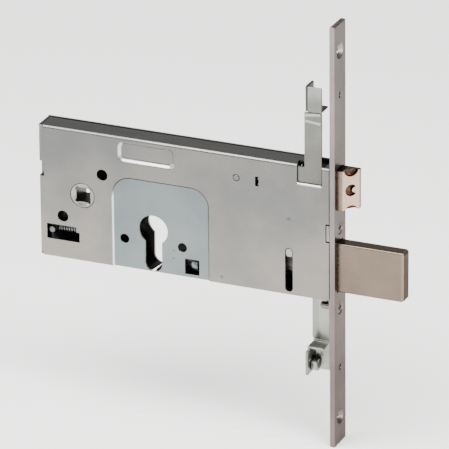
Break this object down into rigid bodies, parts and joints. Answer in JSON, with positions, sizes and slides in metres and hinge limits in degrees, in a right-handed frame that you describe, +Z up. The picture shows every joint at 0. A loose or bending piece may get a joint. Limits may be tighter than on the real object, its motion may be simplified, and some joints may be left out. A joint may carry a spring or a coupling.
{
  "type": "mortise lock",
  "caption": "Mortise lock with a long case, forend, thrown deadbolt, bevelled latch, spindle hub and slides that drive rods to the top and bottom of the door.",
  "frame": {"origin": "centre of the forend's outer face", "axes": "+X out of the forend in the direction of the bolt's throw, +Z up the door, -Y towards the covered side of the case"},
  "size_m": [0.2139, 0.016, 0.245],
  "materials": {
    "zinc_sheet": "zinc-plated sheet, satin",
    "zinc_fittings": "zinc-plated steel, satin",
    "nickel_forend": "satin nickel",
    "nickel_bolt": "satin nickel, tumbled",
    "nickel_latch": "bright nickel with a rose tint",
    "steel": "bright steel",
    "spring_wire": "drawn spring wire"
  },
  "bodies": {
    "case": {"front_cover": "zinc_sheet", "case_back": "zinc_sheet", "end_plate": "zinc_sheet", "forend": "nickel_forend", "forend_screw_upper": "nickel_forend", "forend_screw_lower": "nickel_forend", "case_stud_1": "steel", "case_stud_2": "steel", "case_stud_3": "steel", "case_stud_4": "steel", "slide_guide_stud": "steel", "latch_guide_stud": "steel", "bolt_guide_post_1": "steel", "bolt_guide_post_2": "steel", "pinion_axle": "steel", "latch_spring": "spring_wire", "follower_spring_post": "steel", "follower_spring": "spring_wire", "tumbler_pivot": "steel", "tumbler_spring": "spring_wire", "cylinder_screw": "zinc_fittings", "cylinder_screw_bracket": "zinc_sheet"},
    "deadbolt": {"deadbolt_head": "nickel_bolt", "bolt_tail": "steel", "bolt_rivet_1": "steel", "bolt_rivet_2": "steel"},
    "rod_gear": {"rod_pinion": "steel"},
    "upper_rod": {"upper_slide": "zinc_fittings", "upper_rod_hook": "zinc_fittings"},
    "lower_rod": {"lower_slide": "zinc_fittings", "lower_rod_hook": "zinc_fittings", "lower_hook_screw": "zinc_fittings"},
    "spindle_hub": {"follower": "zinc_sheet", "follower_pin": "steel"},
    "draw_bar": {"latch_draw_bar": "zinc_sheet"},
    "latch": {"latch_head": "nickel_latch", "latch_collar": "steel"},
    "tumbler_lever": {"tumbler": "steel"}
  },
  "joints": [
    {"name": "bolt_throw", "type": "slide", "parent": "case", "child": "deadbolt", "axis": [1, 0, 0], "range_m": [-0.038, 0]},
    {"name": "rod_gear_turn", "type": "hinge", "parent": "case", "child": "rod_gear", "pos_m": [-0.05, 0, 0.0095], "axis": [0, 1, 0], "range_deg": [0, 229.5]},
    {"name": "upper_rod_slide", "type": "slide", "parent": "case", "child": "upper_rod", "axis": [0, 0, 1], "range_m": [-0.0201, 0]},
    {"name": "lower_rod_slide", "type": "slide", "parent": "case", "child": "lower_rod", "axis": [0, 0, 1], "range_m": [0, 0.0201]},
    {"name": "spindle_turn", "type": "hinge", "parent": "case", "child": "spindle_hub", "pos_m": [-0.1493, 0, 0.0027], "axis": [0, -1, 0], "range_deg": [0, 31.65], "stiffness_Nm_per_rad": 0.6, "springref_deg": -17.19, "deforming": ["follower_spring"]},
    {"name": "latch_draw", "type": "slide", "parent": "case", "child": "draw_bar", "axis": [1, 0, 0], "range_m": [-0.01205, 0]},
    {"name": "latch_push", "type": "slide", "parent": "draw_bar", "child": "latch", "axis": [1, 0, 0], "range_m": [-0.012, 0], "stiffness_N_per_m": 300, "springref_m": 0.01, "deforming": ["latch_spring"]},
    {"name": "tumbler_drop", "type": "hinge", "parent": "case", "child": "tumbler_lever", "pos_m": [-0.073, 0, 0.022], "axis": [0, 1, 0], "range_deg": [-5, 0], "deforming": ["tumbler_spring"]}
  ],
  "couplings": [
    {"joint": "rod_gear_turn", "follows": "bolt_throw", "rad_per_m": -105.26},
    {"joint": "upper_rod_slide", "follows": "bolt_throw", "ratio": 0.52632},
    {"joint": "lower_rod_slide", "follows": "bolt_throw", "ratio": -0.52632},
    {"joint": "latch_draw", "follows": "spindle_turn", "m_per_rad": -0.021721}
  ]
}
